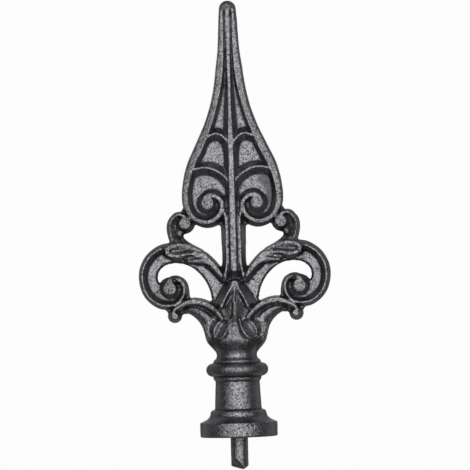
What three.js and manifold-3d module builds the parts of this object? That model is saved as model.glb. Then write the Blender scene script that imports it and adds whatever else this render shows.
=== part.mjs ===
// A cast-iron fence spear finial: a pierced, scrolled spearhead on a turned base with a spigot.
// Millimetres, +Z up, front towards -Y. The origin is the centre of the flange's underside,
// where the finial sits on its post. The ornament is alike on the left and right of the YZ plane,
// and on the front and back of its parting plane, which is the XZ plane.
import * as THREE from "three";
import { mergeVertices } from "three/addons/utils/BufferGeometryUtils.js";
import Module from "manifold-3d";

const wasm = await Module();
wasm.setup();

// Driving dimensions. A depth is measured from the parting plane to one face.
const HEIGHT = 225;
const TIP_ROUND = 4.4;
const TIP = { centre: [0, HEIGHT - TIP_ROUND], length: TIP_ROUND, depth: 4.3, height: TIP_ROUND };
const WEB = { depth: 2.2, draft: 0.8 };
const EYE = { crest: 2.9, foot: 4.8, depth: 5.2 };
const LEAF_BALL = { centre: [31.8, 63.3], length: 3.6, depth: 4.6, height: 3.6 };
const CURL_PAD = { centre: [27.6, 96.8], length: 7.4, depth: 6.3, height: 3.3 };

// The turned base, as radii and heights.
const FLANGE = { radius: 20, rim: 7, chamfer: 0.7 };
const CAVETTO = [16, 8.9];
const OVOLO = { radius: 14.6, foot: 11, headRadius: 12.7, head: 14 };
const SHAFT = { footRadius: 11.9, foot: 14.3, headRadius: 11.2, head: 28.8 };
const TORUS = { centre: [12.6, 34.6], radius: 3.45 };
const FILLET = { radius: 12.3, foot: 29.8, head: 38.4 };
const NECK = { radius: 10.3, height: 42.4, footRadius: 11.2, foot: 40.4 };
const SPIGOT = { radius: 4.5, length: 16.8 };

// The planes that the spigot's end is dressed to: the way each faces, and its height on the axis.
const SPIGOT_DRESSING = [
  { facing: [-0.48, -0.7, -0.53], height: -18.8 },
  { facing: [-0.26, 0, -0.97], height: -16.4 },
  { facing: [0.53, 0.1, -0.85], height: -17.8 },
];

// The calyx's oval sections, as [half width, half depth, height].
const CALYX = [
  [10.3, 10.3, 43], [12.3, 11.2, 46], [14.7, 12, 49], [16, 12, 53], [17.2, 11.2, 57],
  [18.8, 9.6, 61], [19.4, 8, 64.5], [16, 6, 67.6], [8, 3.4, 69.4],
];

// How many flat sides stand for a round.
const SIDES = { base: 22, spigot: 20, eye: 10, padRound: 12, padRise: 4, windowCurve: 3, mouldingCurve: 3 };

// The eyes that the scrolls wind round, as [x, z] on the right-hand side.
const BLADE_EYE = [12.8, 120.7];
const SMALL_EYE = [24.9, 110.4];
const LARGE_EYE = [33.4, 77.3];

// The points [x, z] of a scroll, from its turns about its eye as [angle in degrees, radius].
function scroll([x, z], turns) {
  return turns.map(([degrees, radius]) => {
    const angle = THREE.MathUtils.degToRad(degrees);
    return [x + radius * Math.cos(angle), z + radius * Math.sin(angle)];
  });
}

// The raised bands of the right-hand side and the middle. A band's crest follows a line of [x, z].
// Its sizes are spread evenly from the start of the line to its end, each as
// [foot on the left, half crest, foot on the right, depth], seen from the front, travelling along it.
const BLADE_RIM = {
  line: [
    [2.2, 222.8], [2.95, 220], [3.4, 208], [4.4, 190], [6.3, 180],
    [8.9, 170], [12.2, 160], [16.7, 150], [21.3, 140], [23.9, 130],
    ...scroll(BLADE_EYE, [
      [-4, 11], [-45, 10.6], [-90, 9.9], [-135, 8.7], [-180, 7.6], [-225, 6], [-258, 3.9],
    ]),
  ],
  sizes: [
    [1.2, 0.5, 1.8, 2.6], [1.65, 0.95, 3.1, 4.4], [2, 1.15, 3.8, 4.9],
    [2, 1.4, 5.2, 5.2], [1.95, 1.3, 5.3, 5.3], [2.1, 1, 5.4, 5.3],
    [2.4, 0.65, 5.6, 5.3], [4, 0.65, 4, 5.3], [4.6, 0.5, 2, 5.2],
  ],
  steps: 21,
};
const UPPER_ARCH = {
  line: [[12.2, 154.6], [8.4, 156.2], [4.2, 154.6], [1.2, 150.5]],
  sizes: [[4.2, 0.4, 4.4, 4.8]],
  steps: 4,
};
const LOWER_ARCH = {
  line: [[20.8, 137], [17.4, 139.5], [14, 139.9], [10, 138.8], [6.3, 136.1], [3.4, 132.8], [1, 129.6]],
  sizes: [[6.1, 0.4, 4.5, 4.8]],
  steps: 5,
};
const SMALL_RIM = {
  line: scroll(SMALL_EYE, [[-62, 11.5], [-41, 9.8], [-22, 8.9], [-3, 8.1], [24, 7], [55, 5.9], [82, 4.2]]),
  sizes: [[4.3, 0.6, 1.5, 5], [5.4, 0.6, 1.5, 5], [2.5, 0.5, 1.2, 5]],
  steps: 8,
};
const LARGE_RIM = {
  line: scroll(LARGE_EYE, [
    [94, 22.4], [78, 21.6], [58, 19.9], [35, 17.5], [10, 14.6], [-19, 12.2], [-60, 9.9],
    [-103, 8.7], [-151, 7.9], [-200, 6.9], [-235, 6], [-262, 4.2],
  ]),
  sizes: [
    [1.6, 0.5, 4.2, 5.4], [1.6, 0.55, 4.3, 5.5], [1.6, 0.55, 4.3, 5.5],
    [2, 0.6, 4, 5.5], [2.1, 0.7, 3.2, 5.5], [1.9, 0.6, 2, 5.4],
  ],
  steps: 19,
};
const STEM_RIB = {
  line: [[5.8, 82.5], [4.3, 87.5], [3.9, 95], [3.9, 108], [4, 115]],
  sizes: [[3.1, 0.4, 2.3, 4.8]],
  steps: 3,
};
const LEAF_ARM = {
  line: [[3.6, 78.5], [7.2, 84.2], [10.2, 88.1], [13.5, 91.5], [17.5, 94.4], [21.5, 96.4]],
  sizes: [[2, 1.1, 4, 6.8], [2.5, 1.3, 4.3, 6.2], [2.4, 1.2, 3, 6]],
  steps: 5,
};
const LEAF_CURL = {
  line: [
    [20.5, 96.7], [24.2, 99], [28.2, 99.9], [32.2, 99.2], [34.6, 97.3],
    [33.6, 95], [30.2, 93.8], [26.5, 94.3], [22.5, 94.9],
  ],
  sizes: [[1, 0.5, 1, 7]],
  steps: 8,
};
const DROOPING_LEAF = {
  line: [
    [6, 59.8], [9, 63.8], [13, 67.3], [17.5, 69.6], [22.5, 70.4],
    [27, 69.6], [31, 67.2], [33.7, 64.6], [32.6, 62.2], [30.6, 62.8],
  ],
  sizes: [[1.3, 0.6, 3.4, 10.4], [1.5, 0.75, 3.4, 7.6], [1.5, 0.7, 2.2, 6], [1.5, 0.6, 1, 5.2]],
  steps: 10,
};
const LEAF_LIP = {
  line: [[11.8, 46.6], [14.2, 50.5], [15.2, 55.5], [16.6, 60], [19.5, 63.3], [23, 65.3], [26.5, 65.2]],
  sizes: [[3, 0.6, 1, 6.4], [3, 0.6, 2, 8], [3, 0.7, 2.4, 6.6], [2, 0.4, 1.4, 4.6]],
  steps: 5,
};
// The bract's depth is measured from the calyx's face.
const BRACT = {
  line: [[6.8, 60.6], [10.8, 58.6], [12.4, 55.2], [11.3, 52.1], [8.6, 51.1], [6, 53], [4.3, 56.8], [3.2, 61]],
  sizes: [[1.6, 0.6, 1.6, 1.1]],
  steps: 7,
};
const PALMETTE_EDGE = {
  line: [[0.9, 79.5], [3.7, 73.6], [7.1, 66.7]],
  sizes: [[2.6, 0.5, 0.9, 6], [4.6, 0.5, 1.2, 7], [5, 0.5, 1.4, 8.6]],
  steps: 2,
};
const PALMETTE_KEEL = {
  line: [[0, 80.6], [0, 72], [0, 64], [0, 56]],
  sizes: [[1.5, 0.9, 1.5, 5.4], [4.6, 0.6, 4.6, 7.4], [7.6, 0.6, 7.6, 10], [8, 0.6, 8, 11.8]],
  steps: 3,
};
const MID_RIB = {
  line: [[0, 82.5], [0, 86], [0, 100], [0, 118], [0, 132], [0, 150], [0, 190], [0, TIP.centre[1]]],
  sizes: [
    [4.4, 1.1, 4.4, 3.4], [4.4, 1.2, 4.4, 6.4], [4.4, 1.2, 4.4, 6.4], [4.4, 1.2, 4.4, 6.2],
    [4.6, 1.1, 4.6, 5.6], [4.8, 0.85, 4.8, 5.3], [4.2, 0.85, 4.2, 4.8], [2.4, 0.9, 2.4, 4.2],
  ],
  steps: 7,
};

// The underside of the drooping leaf, from the calyx to its ball, and then round the ball.
const LEAF_UNDERSIDE = {
  line: [[9, 45.5], [13.2, 47.2], [15.8, 51], [17.2, 56], [19.4, 60], [22.4, 62.8], [25.4, 64.1], [28, 63]],
};
const BALL_UNDERSIDE = [[31.8, 61], [35, 64.5]];

// Pairs of numbers as flat points.
function points(pairs) {
  return pairs.map(([a, b]) => new THREE.Vector2(a, b));
}

// A smooth curve on the parting plane through [x, z] points.
function curve(line) {
  return new THREE.CatmullRomCurve3(line.map(([x, z]) => new THREE.Vector3(x, 0, z)), false, "centripetal");
}

// A band's sizes at a place from 0 to 1 along it.
function sizesAt(sizes, t) {
  const place = t * (sizes.length - 1);
  const before = sizes[Math.floor(place)];
  const after = sizes[Math.ceil(place)];
  return before.map((size, i) => THREE.MathUtils.lerp(size, after[i], place % 1));
}

// The six-sided section of a band: its feet on the parting plane, and a flat crest front and back.
const LEFT_FOOT = -2;
const RIGHT_FOOT = 2;
const BAND_SECTION = new THREE.Shape(
  points([[LEFT_FOOT, 0], [-1, -1], [1, -1], [RIGHT_FOOT, 0], [1, 1], [-1, 1]]),
);

// A raised band with sloping sides: a straight bar of the section above, bent along the band's line and
// given its sizes. It stands on the face whose depth at [x, z] is floor(x, z).
function band({ line, sizes, steps }, floor = () => 0) {
  const bar = new THREE.ExtrudeGeometry(BAND_SECTION, { depth: 1, steps, bevelEnabled: false });
  const path = curve(line);
  const vertices = bar.getAttribute("position");
  for (let i = 0; i < vertices.count; i++) {
    const t = THREE.MathUtils.clamp(vertices.getZ(i), 0, 1);
    const [leftFoot, crest, rightFoot, depth] = sizesAt(sizes, t);
    const side = vertices.getX(i);
    const across = side === LEFT_FOOT ? -leftFoot : side === RIGHT_FOOT ? rightFoot : side * crest;
    const { x, z } = path.getPoint(t);
    const travel = path.getTangent(t);
    const rise = vertices.getY(i) * (depth + floor(x, z));
    vertices.setXYZ(i, x + across * travel.z, rise, z - across * travel.x);
  }
  return bar;
}

// A round button that tapers from its foot on the parting plane to a flat crest, front and back.
function button([x, z], { crest, foot, depth }) {
  const profile = points([[0, -depth], [crest, -depth], [foot, 0], [crest, depth], [0, depth]]);
  return new THREE.LatheGeometry(profile, SIDES.eye).translate(x, 0, z);
}

// A rounded pad with the given half sizes.
function pad({ centre: [x, z], length, depth, height }) {
  const ball = new THREE.SphereGeometry(1, SIDES.padRound, SIDES.padRise);
  return ball.scale(length, depth, height).translate(x, 0, z);
}

// The points [x, z] of a line between two places from 0 to 1 along it.
function stretch({ line }, from, to, count) {
  const path = curve(line);
  return Array.from({ length: count + 1 }, (_, i) => {
    const { x, z } = path.getPoint(THREE.MathUtils.lerp(from, to, i / count));
    return [x, z];
  });
}

// The window between the stem, the spearhead, the small scroll and the leaf arm.
function upperWindow() {
  const opening = new THREE.Path().moveTo(6.2, 90);
  opening.lineTo(6.6, 108).quadraticCurveTo(6.7, 109.2, 7.8, 109.2);
  opening.quadraticCurveTo(13.3, 107.6, 18.8, 109.8).lineTo(19.7, 109.4);
  opening.quadraticCurveTo(20.9, 105.6, 25, 105.1).quadraticCurveTo(26, 104.6, 25.4, 103.2);
  opening.bezierCurveTo(22.5, 99.8, 15.6, 97.8, 8.8, 89.2).quadraticCurveTo(6.4, 86.7, 6.2, 90);
  return opening;
}

// The hooked window inside the large scroll, between its volute, the leaf arm and the drooping leaf.
function lowerWindow() {
  const opening = new THREE.Path().moveTo(12.2, 72);
  opening.bezierCurveTo(13, 79.5, 18, 87.6, 26, 89.9).bezierCurveTo(32, 91.6, 39.2, 90, 39.8, 83.6);
  opening.quadraticCurveTo(39.9, 80.4, 38.2, 80.4).quadraticCurveTo(34.6, 83.7, 31.2, 83.7);
  opening.bezierCurveTo(26.4, 83.6, 23.4, 79, 23.5, 72.4).quadraticCurveTo(17.4, 72.2, 14, 70.6);
  opening.quadraticCurveTo(12, 69.8, 12.2, 72);
  return opening;
}

// The web that ties the ornament together: half of its outline, from the calyx round to the tip and
// a little past the middle, with its edges drafted away from the parting plane.
function web() {
  const pastMiddle = -0.5;
  const outline = new THREE.Shape(points([
    [pastMiddle, LEAF_UNDERSIDE.line[0][1]],
    ...stretch(LEAF_UNDERSIDE, 0, 1, 6),
    ...BALL_UNDERSIDE,
    ...stretch(LARGE_RIM, 0.55, 0, 8),
    ...stretch(SMALL_RIM, 0, 0.8, 5),
    ...stretch(BLADE_RIM, 0.67, 0, 8),
    [pastMiddle, TIP.centre[1]],
  ]));
  outline.holes.push(upperWindow(), lowerWindow());
  const plate = new THREE.ExtrudeGeometry(outline, {
    depth: 0,
    bevelThickness: WEB.depth,
    bevelSize: WEB.draft,
    bevelOffset: -WEB.draft,
    bevelSegments: 1,
    curveSegments: SIDES.windowCurve,
  });
  return plate.rotateX(Math.PI / 2);
}

// The spearhead's right half: its rim, which winds into a volute, two arched bars and the volute's eye.
function spearhead() {
  return [band(BLADE_RIM), band(UPPER_ARCH), band(LOWER_ARCH), button(BLADE_EYE, EYE)];
}

// The two scrolls of the right half, each a channel with a rim that winds into an eye.
function scrolls() {
  return [band(SMALL_RIM), button(SMALL_EYE, EYE), band(LARGE_RIM), button(LARGE_EYE, EYE)];
}

// The leafy arm that springs from the foot of the stem and curls over where the two scrolls meet.
function leafArm() {
  return [band(LEAF_ARM), pad(CURL_PAD), band(LEAF_CURL)];
}

// The half width and half depth of the calyx's section at a given height.
function calyxAt(height) {
  const next = CALYX.findIndex(([, , z]) => z > height);
  const above = next < 0 ? CALYX.length - 1 : Math.max(next, 1);
  const [before, after] = [CALYX[above - 1], CALYX[above]];
  const share = THREE.MathUtils.clamp((height - before[2]) / (after[2] - before[2]), 0, 1);
  return [0, 1].map((i) => THREE.MathUtils.lerp(before[i], after[i], share));
}

// How far the calyx's face stands from the parting plane at [x, z].
function calyxFace(x, z) {
  const [width, depth] = calyxAt(z);
  return depth * Math.sqrt(1 - (x / width) ** 2);
}

// The leaf that droops over the side of the calyx and ends in a small rolled ball,
// with the looped bract on the calyx beside it.
function droopingLeaf() {
  return [band(DROOPING_LEAF), band(LEAF_LIP), pad(LEAF_BALL), band(BRACT, calyxFace)];
}

// A body turned about the Z axis from an outline of radius and height.
function turned(outline, sides) {
  return new THREE.LatheGeometry(outline, sides).rotateX(Math.PI / 2);
}

// The turned base, with flange, ovolo foot, tapering shaft, torus between two fillets and neck,
// and the calyx above it, which is round at the neck, then wider and flatter.
function baseAndCalyx() {
  const profile = new THREE.Path().moveTo(0, 0);
  profile.lineTo(FLANGE.radius - FLANGE.chamfer, 0).lineTo(FLANGE.radius, FLANGE.chamfer);
  profile.lineTo(FLANGE.radius, FLANGE.rim);
  profile.lineTo(FLANGE.radius - FLANGE.chamfer, FLANGE.rim + FLANGE.chamfer);
  profile.quadraticCurveTo(...CAVETTO, OVOLO.radius, OVOLO.foot);
  profile.quadraticCurveTo(OVOLO.radius, OVOLO.head, OVOLO.headRadius, OVOLO.head);
  profile.lineTo(SHAFT.footRadius, SHAFT.foot).lineTo(SHAFT.headRadius, SHAFT.head);
  profile.lineTo(FILLET.radius, FILLET.foot).lineTo(FILLET.radius, TORUS.centre[1] - TORUS.radius);
  profile.absarc(...TORUS.centre, TORUS.radius, -Math.PI / 2, Math.PI / 2);
  profile.lineTo(FILLET.radius, FILLET.head).lineTo(NECK.footRadius, NECK.foot);
  profile.lineTo(NECK.radius, NECK.height);
  CALYX.forEach(([width, , z]) => profile.lineTo(width, z));
  profile.lineTo(0, CALYX.at(-1)[2]);
  const body = turned(profile.getPoints(SIDES.mouldingCurve), SIDES.base);
  const vertices = body.getAttribute("position");
  for (let i = 0; i < vertices.count; i++) {
    const [width, depth] = calyxAt(vertices.getZ(i));
    vertices.setY(i, vertices.getY(i) * depth / width);
  }
  return body;
}

// The spigot that goes into the post, with its end roughly dressed.
function spigot() {
  const buried = 1;
  const pin = new THREE.CylinderGeometry(SPIGOT.radius, SPIGOT.radius, SPIGOT.length + buried, SIDES.spigot);
  pin.rotateX(Math.PI / 2).translate(0, 0, (buried - SPIGOT.length) / 2);
  const up = new THREE.Vector3(0, 0, 1);
  const block = 4 * SPIGOT.length;
  return SPIGOT_DRESSING.reduce((rest, { facing, height }) => {
    const turn = new THREE.Quaternion().setFromUnitVectors(up, new THREE.Vector3(...facing).normalize());
    const waste = new THREE.BoxGeometry(block, block, block).translate(0, 0, block / 2).applyQuaternion(turn);
    return rest.subtract(solid(waste.translate(0, 0, height)));
  }, solid(pin));
}

// A closed mesh as a solid, with its shared vertices merged and collapsed faces dropped.
function solid(mesh) {
  const bare = mesh.clone().deleteAttribute("normal").deleteAttribute("uv");
  const merged = mergeVertices(bare);
  const corners = merged.index.array;
  const faces = [];
  for (let i = 0; i < corners.length; i += 3) {
    const [a, b, c] = corners.slice(i, i + 3);
    if (a !== b && b !== c && c !== a) faces.push(a, b, c);
  }
  return new wasm.Manifold(new wasm.Mesh({
    numProp: 3,
    vertProperties: merged.getAttribute("position").array,
    triVerts: new Uint32Array(faces),
  }));
}

// The union of several solids.
function join(solids) {
  return solids.reduce((whole, piece) => whole.add(piece));
}

// A solid as a mesh geometry.
function geometryOf(shape) {
  const { vertProperties, triVerts } = shape.getMesh();
  const geometry = new THREE.BufferGeometry();
  geometry.setAttribute("position", new THREE.BufferAttribute(vertProperties, 3));
  return geometry.setIndex(new THREE.BufferAttribute(triVerts, 1));
}

// A geometry reflected in the YZ plane, with its faces turned back outwards.
function mirrored(geometry) {
  const reflection = geometry.clone().scale(-1, 1, 1);
  const corners = reflection.index.array;
  for (let i = 0; i < corners.length; i += 3) {
    [corners[i + 1], corners[i + 2]] = [corners[i + 2], corners[i + 1]];
  }
  return reflection;
}

// The whole casting: its right half, the mirror image of that, and what stands on the middle.
function casting() {
  const rightHalf = join([
    web(), band(STEM_RIB), ...spearhead(), ...scrolls(), ...leafArm(), ...droopingLeaf(), band(PALMETTE_EDGE),
  ].map(solid));
  const leftHalf = solid(mirrored(geometryOf(rightHalf)));
  const middle = [band(MID_RIB), pad(TIP), band(PALMETTE_KEEL), baseAndCalyx()].map(solid);
  return geometryOf(join([rightHalf, leftHalf, ...middle, spigot()]));
}

const castIron = new THREE.MeshStandardMaterial({ color: 0x58585a, roughness: 0.55, metalness: 0.8 });
const finial = new THREE.Mesh(casting(), castIron);
finial.name = "spear_finial";
finial.geometry.computeVertexNormals();

export default new THREE.Group().add(finial);
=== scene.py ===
# %% [markdown]
# # A cast-iron spear finial for a fence
# The real thing is one sand casting: a pierced, scrolled spearhead on a turned foot, with a spigot
# that goes into the top of a post. It could be sculpted by hand, but its ornament is a set of raised
# bands that follow clean curves, so here each band is swept along its own line, everything is fused
# into one skin, and the skin is then worked over with small chisel strokes, as a pattern maker would.
# We build in millimetres, with +Z up and the front towards -Y, and turn to metres when it is fused.

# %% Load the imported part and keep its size
import math

import bmesh
import bpy
import numpy as np
from mathutils import Matrix, Vector, geometry, noise


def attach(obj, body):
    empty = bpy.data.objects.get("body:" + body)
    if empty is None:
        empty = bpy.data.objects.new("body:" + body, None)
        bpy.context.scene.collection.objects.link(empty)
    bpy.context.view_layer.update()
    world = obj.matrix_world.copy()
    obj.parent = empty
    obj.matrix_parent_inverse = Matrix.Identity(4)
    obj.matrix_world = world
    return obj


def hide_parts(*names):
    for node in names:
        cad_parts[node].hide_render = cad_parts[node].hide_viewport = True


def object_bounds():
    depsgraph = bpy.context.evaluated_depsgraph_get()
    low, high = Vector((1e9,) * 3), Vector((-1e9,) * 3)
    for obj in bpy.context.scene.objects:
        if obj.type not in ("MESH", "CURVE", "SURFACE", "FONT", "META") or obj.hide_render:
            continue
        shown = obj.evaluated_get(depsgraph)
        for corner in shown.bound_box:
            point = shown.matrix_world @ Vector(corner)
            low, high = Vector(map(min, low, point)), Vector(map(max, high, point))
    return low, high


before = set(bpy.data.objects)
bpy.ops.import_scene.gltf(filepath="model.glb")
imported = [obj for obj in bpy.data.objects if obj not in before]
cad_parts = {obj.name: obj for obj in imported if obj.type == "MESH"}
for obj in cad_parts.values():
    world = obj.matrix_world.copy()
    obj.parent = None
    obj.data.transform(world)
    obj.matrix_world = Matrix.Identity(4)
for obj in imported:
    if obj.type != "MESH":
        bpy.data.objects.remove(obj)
cad_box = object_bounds()
MM = 0.001
print("the solid is", [round(side / MM, 1) for side in cad_box[1] - cad_box[0]], "mm")

# %% [markdown]
# ## Lines of the ornament
# Every scroll, rim and leaf starts as a line drawn on the parting plane, where the two halves of the
# mould met. Bezier curves would need handles to be worked out for each point, so we use a smooth
# curve that simply passes through the points. A scroll is easier to give as turns about its eye.
# Only the right half is drawn, because the left one is its mirror image.

# %% A smooth line through points, and the points of a scroll
SPAN_STEPS = 6


def smooth_line(points):
    """Places [x, z] along a centripetal curve through the points."""
    known = np.array(points, float)
    ends = 2 * known[[0, -1]] - known[[1, -2]]
    p = np.vstack([ends[:1], known, ends[1:]])
    gap = np.sqrt(np.linalg.norm(np.diff(p, axis=0), axis=1))[:, None]
    slope = np.diff(p, axis=0) / gap
    u = np.linspace(0, 1, SPAN_STEPS, endpoint=False)[:, None]
    spans = []
    for i in range(1, len(p) - 2):
        before = (p[i + 1] - p[i - 1]) / (gap[i - 1] + gap[i])
        after = (p[i + 2] - p[i]) / (gap[i] + gap[i + 1])
        out = (slope[i - 1] - before + slope[i]) * gap[i]
        into = (slope[i] - after + slope[i + 1]) * gap[i]
        step = p[i + 1] - p[i]
        spans.append(p[i] + out * u + (3 * step - 2 * out - into) * u**2 + (out + into - 2 * step) * u**3)
    return np.vstack([*spans, known[-1:]])


def scroll(eye, turns):
    """Points of a scroll, from its turns about the eye as (angle in degrees, radius)."""
    angles = [(math.radians(degrees), radius) for degrees, radius in turns]
    return [(eye[0] + r * math.cos(a), eye[1] + r * math.sin(a)) for a, r in angles]


# %% The spearhead's rim and the two scrolls beside the stem
BLADE_EYE = (12.8, 120.7)
SMALL_EYE = (24.7, 110.7)
LARGE_EYE = (33.5, 77.2)
BLADE_LINE = [
    (2, 223), (2.65, 220.8), (3, 216.5), (3.3, 208), (3.75, 199), (4.5, 190), (5.95, 180),
    (8.3, 170), (11.75, 160), (16.1, 150), (20.85, 140), (23.65, 130),
    *scroll(BLADE_EYE, [
        (-4, 11.1), (-45, 10.65), (-90, 9.9), (-135, 8.7), (-180, 7.5),
        (-204, 6.3), (-225, 5.3), (-242, 4.5), (-270, 3.4), (-300, 2.5),
    ]),
]
SMALL_LINE = [
    (31, 100.4), (32, 103.6), (32.6, 107), (32.65, 109.6), (32, 111.7), (30.8, 113.3),
    (29.3, 114.8), (27.2, 115.2), (25.4, 114.6), (24.2, 113.2), (24, 111.4),
]
LARGE_LINE = scroll(LARGE_EYE, [
    (94, 22.1), (78, 21.3), (58, 19.55), (35, 17.05), (10, 14.2), (-19, 11.95),
    (-60, 9.85), (-103, 8.8), (-126, 8.5), (-156, 7.9), (-180, 7.7), (-205, 7.45),
    (-219, 7), (-235, 5.9), (-250, 4.8), (-273, 3.8), (-300, 2.8),
])
print("scroll lines:", [len(smooth_line(line)) for line in (BLADE_LINE, SMALL_LINE, LARGE_LINE)], "places")

# %% [markdown]
# ## Raised bands
# A band is a bar with a flat crest front and back and sides that slope out to its feet, so that the
# pattern draws out of the sand. A curve object with a bevel would give the same section all along,
# but these bands swell and fade, so a six-sided face is extruded from place to place, and at each
# place its corners are set to the sizes there.

# %% A sweep along a line
casting = bmesh.new()
CORNER = casting.verts.layers.float_vector.new("corner")


def sweep(line, sizes, floor=None, lean=(0,)):
    """Sizes are (left foot, half crest, right foot, depth), spread evenly along the line.
    So is lean, which is how steeply the crest falls to the left."""
    path = smooth_line(line)
    travel = np.gradient(path, axis=0)
    travel /= np.linalg.norm(travel, axis=1)[:, None]
    share = np.linspace(0, 1, len(path))
    stations = np.linspace(0, 1, len(sizes))
    left, crest, right, depth = (np.interp(share, stations, column) for column in np.transpose(sizes))
    fall = 2 * crest * np.interp(share, np.linspace(0, 1, len(lean)), lean)
    # A hexagon of radius 2 has corners at -2, -1, 1 and 2 across: feet outside, crests inside.
    turn = Matrix.Rotation(math.pi / 2, 4, "Z")
    ring = bmesh.ops.create_circle(casting, cap_ends=True, segments=6, radius=2, matrix=turn)["verts"]
    for corner in ring:
        corner[CORNER] = corner.co
    cap = ring[0].link_faces[0]
    for i, (x, z) in enumerate(path):
        if i:
            grown = bmesh.ops.extrude_face_region(casting, geom=[cap])["geom"]
            if i > 1:
                bmesh.ops.delete(casting, geom=[cap], context="FACES_ONLY")
            cap = next(part for part in grown if isinstance(part, bmesh.types.BMFace))
        rise = depth[i] + (floor(x, z) if floor else 0)
        for corner in cap.verts:
            side, face = round(corner[CORNER].x), round(corner[CORNER].y)
            across = {-2: -left[i], -1: -crest[i], 1: crest[i], 2: right[i]}[side]
            height = rise - (fall[i] if side == -1 else 0)
            corner.co = (x + across * travel[i, 1], np.sign(face) * height, z - across * travel[i, 0])


# %% Bands of the spearhead
# The rim, from the tip down and round into the volute.
sweep(BLADE_LINE, [
    (1.2, 0.4, 1, 2.9), (1.7, 0.7, 1.3, 4.1), (1.75, 0.85, 1.8, 4.6), (1.9, 1.05, 2.1, 4.9),
    (2, 1.4, 2.4, 5.1), (2.5, 1.75, 2.85, 5.2), (2.4, 1.6, 3.25, 5.3), (2.3, 1.45, 3.45, 5.3),
    (2.35, 1.7, 3.75, 5.3), (2.65, 1.85, 4.55, 5.3), (2.5, 1.7, 4.6, 5.3), (2.1, 1.35, 4.3, 5.3),
    (2, 1.2, 4.8, 5.3), (2.1, 1.05, 4.9, 5.3), (3, 0.95, 4.8, 5.3), (3.6, 0.95, 4.6, 5.3),
    (3.6, 1, 4.2, 5.3), (3.75, 0.95, 3.6, 5.3), (4.1, 0.95, 2.9, 5.3), (4.3, 1, 2.3, 5.3),
    (3.8, 1.25, 2, 5.3), (3, 1.4, 2, 5.2),
], lean=(0.1, 0.2, 0.36, 0.2, 0.1, 0))
# The upper arch and the lower arch, which part the sunk panels.
sweep(
    [(12.6, 154), (10.9, 155.3), (7.9, 156.5), (4.9, 155.7), (2, 152.6), (0.8, 148.5)],
    [
        (4, 0.35, 1.5, 4.8), (4.9, 0.35, 3.4, 5), (4.9, 0.35, 4.4, 5),
        (4.9, 0.35, 4.4, 5), (4.9, 0.35, 4.4, 5),
    ],
)
sweep(
    [
        (22, 135.4), (20.6, 137.3), (17.3, 138.8), (12.5, 139), (8.6, 137.7),
        (4.8, 135.3), (2.2, 132.5), (0.8, 129.8),
    ],
    [
        (4.4, 0.35, 1.2, 4.8), (5.5, 0.35, 2, 5), (5.4, 0.35, 4.4, 5), (5, 0.35, 5.1, 5),
        (5, 0.35, 5.1, 5), (5, 0.35, 5.1, 5),
    ],
)
# The groove beside the centre rib grows shallow towards the tip, so a low band fills its floor there.
sweep(
    [(2.5, 181), (2.2, 185), (1.92, 188), (1.78, 191), (1.65, 195.5), (1.6, 199)],
    [
        (1, 0.6, 1, 1.6), (1, 0.6, 1, 2.2), (1, 0.6, 1, 2.7), (1, 0.6, 1, 3),
        (1, 0.4, 1, 3), (0.8, 0.2, 0.8, 2),
    ],
)
print("spearhead bands:", len(casting.faces), "faces")

# %% [markdown]
# ## Scrolls, stem rib and leaf arm
# Below the spearhead two scrolls lean on each side of the stem, and a leafy arm runs up between them
# and curls over at its end. They could be modelled one by one, but they are bands like the others,
# so the same sweep makes them. A leaf is a bundle of such bands that part and meet again.

# %% Scrolls and stem rib
# The small scroll, the large one, and the rib at the stem's side.
sweep(SMALL_LINE, [
    (4, 0.3, 1.8, 4.4), (6.4, 0.3, 1.9, 4.9), (5.2, 0.3, 1.9, 5), (4.4, 0.4, 1.8, 5.1),
    (2.2, 0.7, 1.4, 5.1), (1.4, 0.9, 1.3, 5.1),
], lean=(0.3, 0.5, 0.4, 0.2, 0))
sweep(LARGE_LINE, [
    (1.9, 0.5, 3.8, 5.4), (1.9, 0.6, 4, 5.5), (1.9, 0.6, 4, 5.5), (1.8, 0.6, 4, 5.5), (1.8, 0.6, 4, 5.5),
    (1.8, 0.6, 4.2, 5.5), (2, 0.55, 4.4, 5.5), (2, 0.5, 4.4, 5.5), (2, 0.5, 4.4, 5.5), (2, 0.55, 4.2, 5.5),
    (2.1, 0.65, 3.9, 5.5), (1.8, 0.75, 3.1, 5.5), (1.6, 0.75, 2.8, 5.5), (2, 0.95, 2.6, 5.4),
    (2.3, 1.15, 2.4, 5.4), (2, 0.95, 2.2, 5.3), (2, 0.95, 2, 5.3),
], lean=(0.5, 0.35, 0.2, 0.25))
sweep(
    [
        (5.2, 80.5), (4.2, 85.5), (3.6, 90), (3.5, 100),
        (3.5, 110), (3.7, 113.6), (4.5, 117), (5.4, 119.5),
    ],
    [
        (2.2, 0.5, 2.6, 4.2), (2.5, 0.5, 2.8, 4.8), (2.5, 0.5, 2.75, 4.8), (2.5, 0.5, 2.75, 4.8),
        (2.5, 0.5, 2.75, 4.8), (2.5, 0.5, 2.7, 4.9), (2.3, 0.5, 2, 5.1), (1.8, 0.5, 1.5, 5.2),
    ],
)
print("with scrolls and stem:", len(casting.faces), "faces")

# %% Leaf arm
# The stalk.
sweep(
    [
        (5.3, 80), (6.4, 82.8), (8.2, 85.6), (9.9, 87.8),
        (12.4, 90.3), (15.3, 92.5), (18.5, 94.6), (21.5, 95.9),
    ],
    [
        (1.4, 0.3, 2.6, 4.4), (2, 0.7, 3.2, 6.2), (2.3, 1.05, 3.6, 6.4), (2.4, 1.2, 3.8, 6.3),
        (2.7, 1.5, 4.1, 6.2), (3.2, 2.1, 4.7, 6.1), (3, 2.1, 4.2, 6), (2.4, 1.5, 3, 6),
    ],
)
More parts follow.
